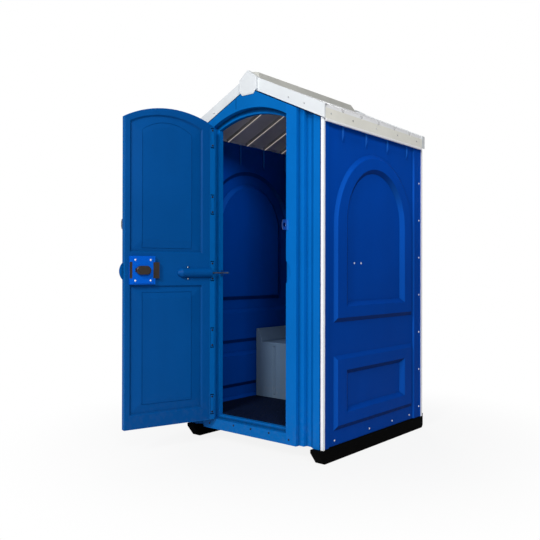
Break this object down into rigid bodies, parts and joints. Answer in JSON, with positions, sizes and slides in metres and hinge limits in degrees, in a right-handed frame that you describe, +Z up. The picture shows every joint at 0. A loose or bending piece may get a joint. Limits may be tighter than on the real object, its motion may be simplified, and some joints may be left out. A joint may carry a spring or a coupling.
{
  "type": "portable toilet cabin",
  "caption": "Blue moulded-plastic portable toilet cabin on black skids, with a white gable roof and an outward-opening arched door.",
  "frame": {"origin": "on the ground, midway between the two skids and midway between the front and back of the shell", "axes": "+X to the right seen from the front, +Y from the door to the back wall, +Z up"},
  "size_m": [1.13, 1.8339, 2.317],
  "materials": {
    "blue_plastic": "fine-grained moulded",
    "bright_blue_plastic": "satin",
    "white_plastic": "satin",
    "grey_white_plastic": "satin",
    "grey_plastic": "fine-grained moulded",
    "dark_plastic": "fine-grained moulded",
    "black_skid": "rough",
    "black_plastic": "satin",
    "brown_plastic": "satin",
    "indicator_plastic": "gloss, green and red fields",
    "steel": "brushed",
    "dark_metal": "dark coated",
    "blue_metal": "satin paint",
    "paper": "matt"
  },
  "bodies": {
    "cabin": {"back_wall": "blue_plastic", "closer_anchor": "blue_metal", "corner_strip_back_left": "white_plastic", "corner_strip_back_right": "white_plastic", "corner_strip_front_left": "white_plastic", "corner_strip_front_right": "white_plastic", "door_header": "blue_plastic", "door_sill": "blue_plastic", "eave_fascia_left": "grey_white_plastic", "eave_fascia_right": "grey_white_plastic", "floor_pan": "dark_plastic", "frame_eye": "steel", "front_panel_left": "blue_plastic", "front_panel_right": "blue_plastic", "hinge_frame_knuckles": "blue_plastic", "hinge_pins": "steel", "paper_holder": "black_plastic", "paper_spindle": "black_plastic", "pipe_collar": "grey_plastic", "pipe_flashing": "white_plastic", "rain_cap": "white_plastic", "ridge_cap_back": "white_plastic", "ridge_cap_front": "white_plastic", "ridge_vent": "grey_white_plastic", "roof_panel_left": "white_plastic", "roof_panel_right": "white_plastic", "roof_screws": "steel", "seat_hinge_pin": "steel", "seat_ring": "black_plastic", "side_wall_left": "blue_plastic", "side_wall_right": "blue_plastic", "skid_left": "black_skid", "skid_right": "black_skid", "vent_pipe": "black_plastic", "verge_back_left": "white_plastic", "verge_back_right": "white_plastic", "verge_front_left": "white_plastic", "verge_front_right": "white_plastic", "wall_rivets": "steel", "waste_tank": "grey_plastic"},
    "door": {"door_outer_skin": "blue_plastic", "door_inner_skin": "blue_plastic", "hinge_door_knuckles": "blue_plastic", "lock_base": "bright_blue_plastic", "lock_cover": "bright_blue_plastic", "lock_rivets": "steel", "indicator_bezel": "brown_plastic", "closer_housing": "blue_plastic", "closer_tube": "steel", "closer_screws": "steel", "door_eye": "steel", "hinge_backing_plates": "blue_plastic", "hinge_screws": "dark_metal"},
    "lock_bolt": {"lock_bolt": "brown_plastic", "lock_knob": "brown_plastic", "indicator_flag": "indicator_plastic"},
    "closer_rod": {"closer_rod": "steel"},
    "seat_lid": {"seat_lid": "black_plastic"},
    "paper_roll": {"paper_roll": "paper"}
  },
  "joints": [
    {"name": "door_hinge", "type": "hinge", "parent": "cabin", "child": "door", "pos_m": [-0.3, -0.62, 1.1], "axis": [0, 0, 1], "range_deg": [0, 107]},
    {"name": "lock_slide", "type": "slide", "parent": "door", "child": "lock_bolt", "axis": [-0.2924, -0.9563, 0], "range_m": [0, 0.036]},
    {"name": "closer_slide", "type": "slide", "parent": "door", "child": "closer_rod", "axis": [-0.2924, -0.9563, 0], "range_m": [0, 0.119]},
    {"name": "lid_hinge", "type": "hinge", "parent": "cabin", "child": "seat_lid", "pos_m": [0, 0.493, 0.6055], "axis": [-1, 0, 0], "range_deg": [0, 96]},
    {"name": "roll_spin", "type": "hinge", "parent": "cabin", "child": "paper_roll", "pos_m": [0.46, -0.201, 1.139], "axis": [0, 1, 0], "continuous": true}
  ],
  "couplings": [
    {"joint": "closer_slide", "follows": "door_hinge", "m_per_rad": 0.06372}
  ]
}
